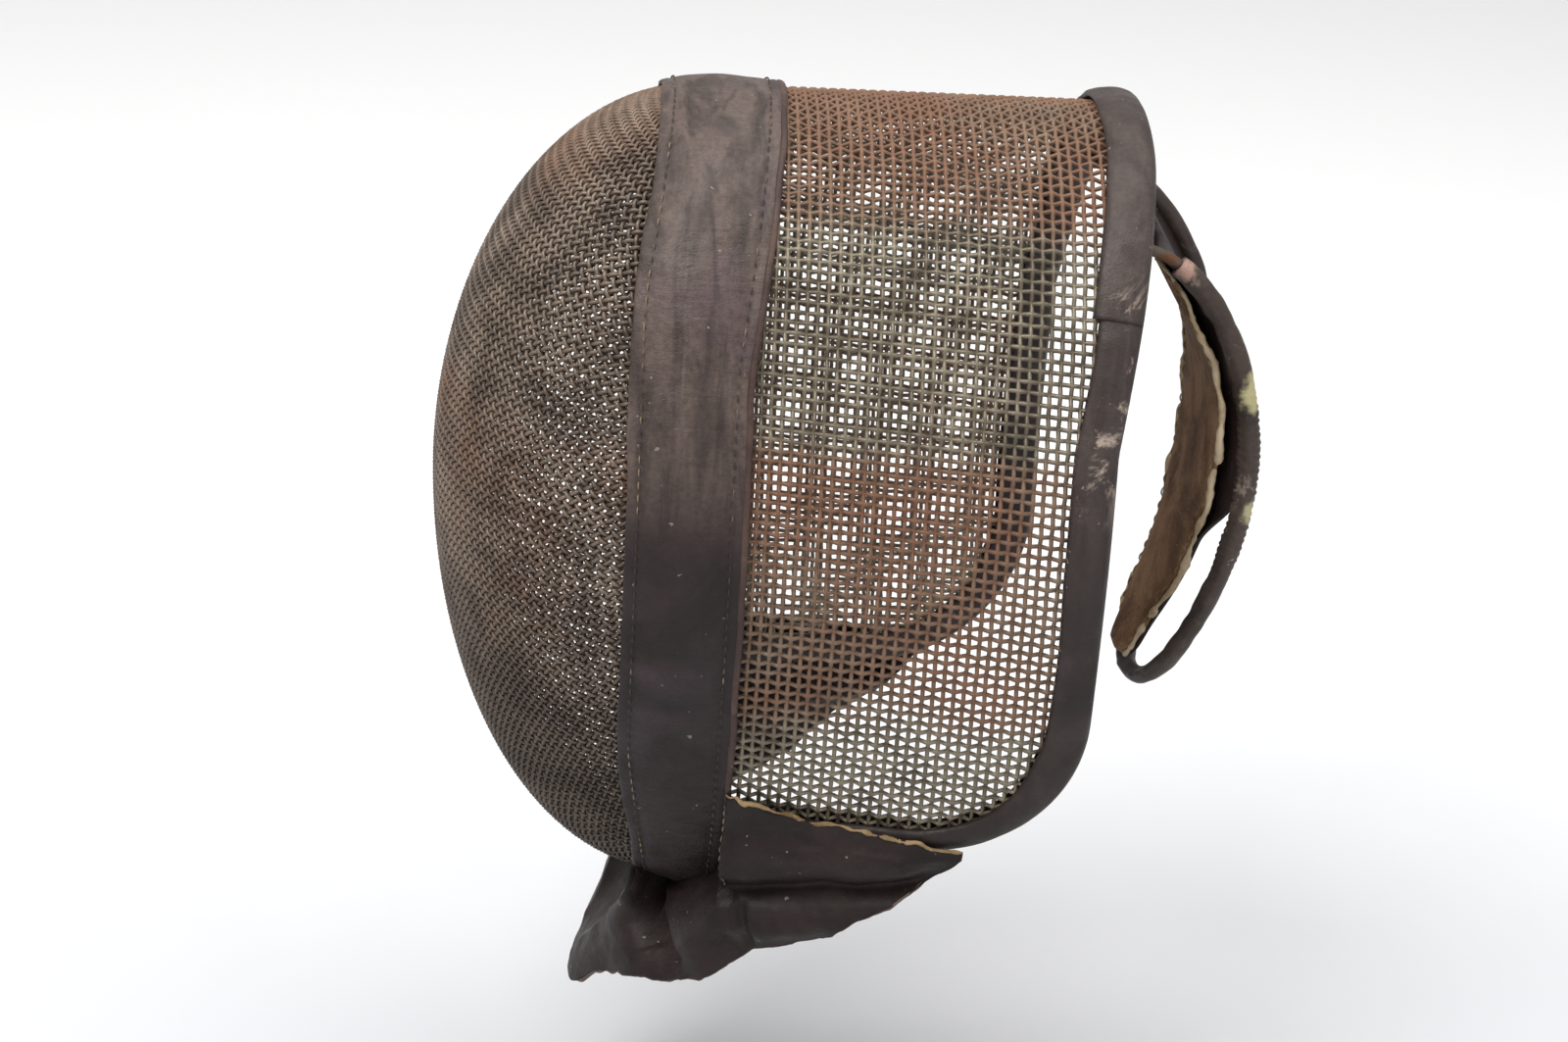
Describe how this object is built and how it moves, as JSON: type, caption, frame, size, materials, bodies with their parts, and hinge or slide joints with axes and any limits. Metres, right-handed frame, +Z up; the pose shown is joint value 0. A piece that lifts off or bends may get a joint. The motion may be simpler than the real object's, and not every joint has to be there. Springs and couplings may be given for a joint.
{
  "type": "wire mesh fencing mask",
  "caption": "Domed wire-mesh face mask with a leather band, leather-bound rear rim, throat bib and a sprung tongue that grips the back of the head.",
  "frame": {"origin": "centre of the wearer's head", "axes": "+Z up, the face looks along -Y, +X is the wearer's left"},
  "size_m": [0.199, 0.2789, 0.3335],
  "materials": {
    "mesh": "rusty woven steel wire",
    "wire": "aged spring steel",
    "leather": "worn dark brown leather",
    "lining": "old lining leather",
    "suede": "golden brown flesh side"
  },
  "bodies": {
    "mask": {"front_mesh": "mesh", "side_mesh": "mesh", "hoop_wire": "wire", "rear_rim_bar": "wire", "front_band": "leather", "band_lining": "lining", "rear_binding_top": "leather", "rear_binding_left": "leather", "rear_binding_right": "leather", "bib_front": "leather", "bib_gusset_left": "leather", "bib_gusset_right": "leather", "forehead_pad": "lining", "cheek_pad_left": "lining", "cheek_pad_right": "lining", "chin_pad": "lining", "tongue_staple_left": "wire", "tongue_staple_right": "wire"},
    "tongue": {"tongue_spring_wire": "wire", "tongue_wire_cover": "leather", "tongue_pad_face": "suede", "tongue_pad_back": "leather"}
  },
  "joints": [
    {"name": "tongue_flex", "type": "hinge", "parent": "mask", "child": "tongue", "pos_m": [0, 0.064, 0.098], "axis": [1, 0, 0], "range_deg": [-8, 35], "stiffness_Nm_per_rad": 4}
  ]
}
